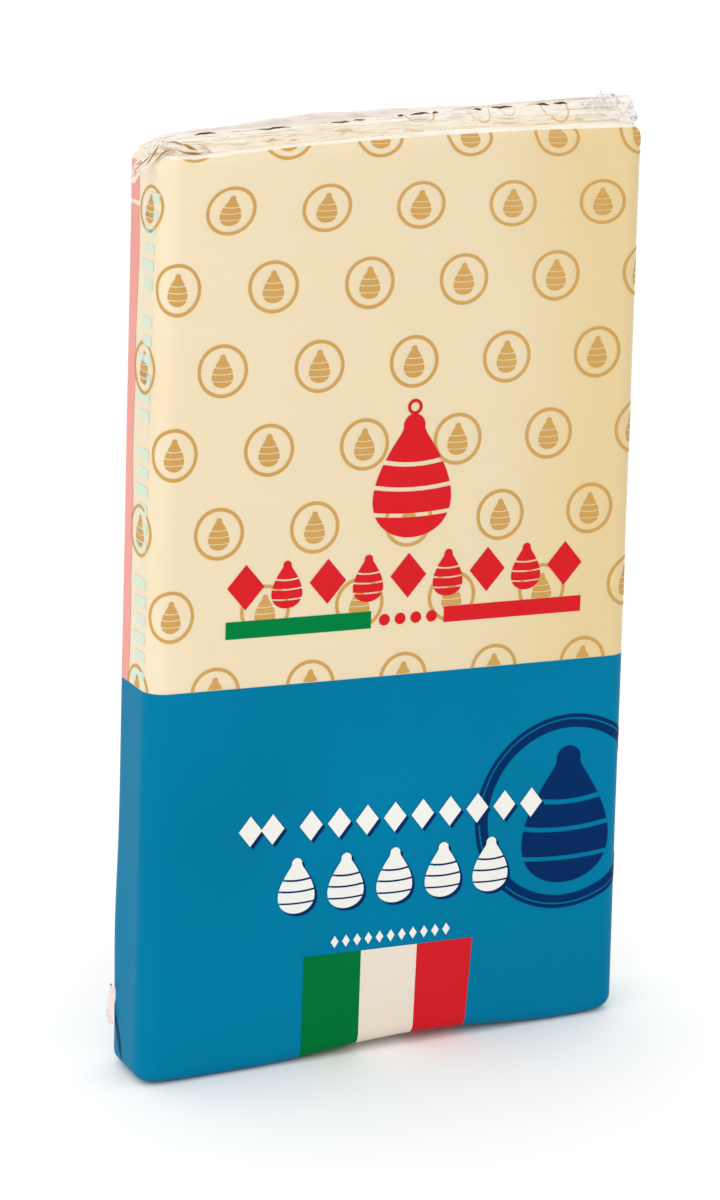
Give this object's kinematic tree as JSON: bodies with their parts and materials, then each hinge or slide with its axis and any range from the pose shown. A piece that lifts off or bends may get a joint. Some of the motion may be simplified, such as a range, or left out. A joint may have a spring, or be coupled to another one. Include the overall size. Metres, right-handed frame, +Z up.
{
  "type": "vacuum-packed provolone cheese slab",
  "caption": "Rectangular slab of pale provolone cheese vacuum packed in a printed clear shrink bag, standing on its short end with the bag's thin seal on top.",
  "frame": {"origin": "middle of the pack's base on the surface it stands on", "axes": "+Z up along the slab's long side, +X across its broad face to the right, the printed front faces -Y"},
  "size_m": [0.1978, 0.0364, 0.341],
  "materials": {
    "pack_film": "glossy printed shrink film drawn tight over cream cheese"
  },
  "bodies": {
    "root": {"provolone_pack": "pack_film"}
  },
  "joints": []
}
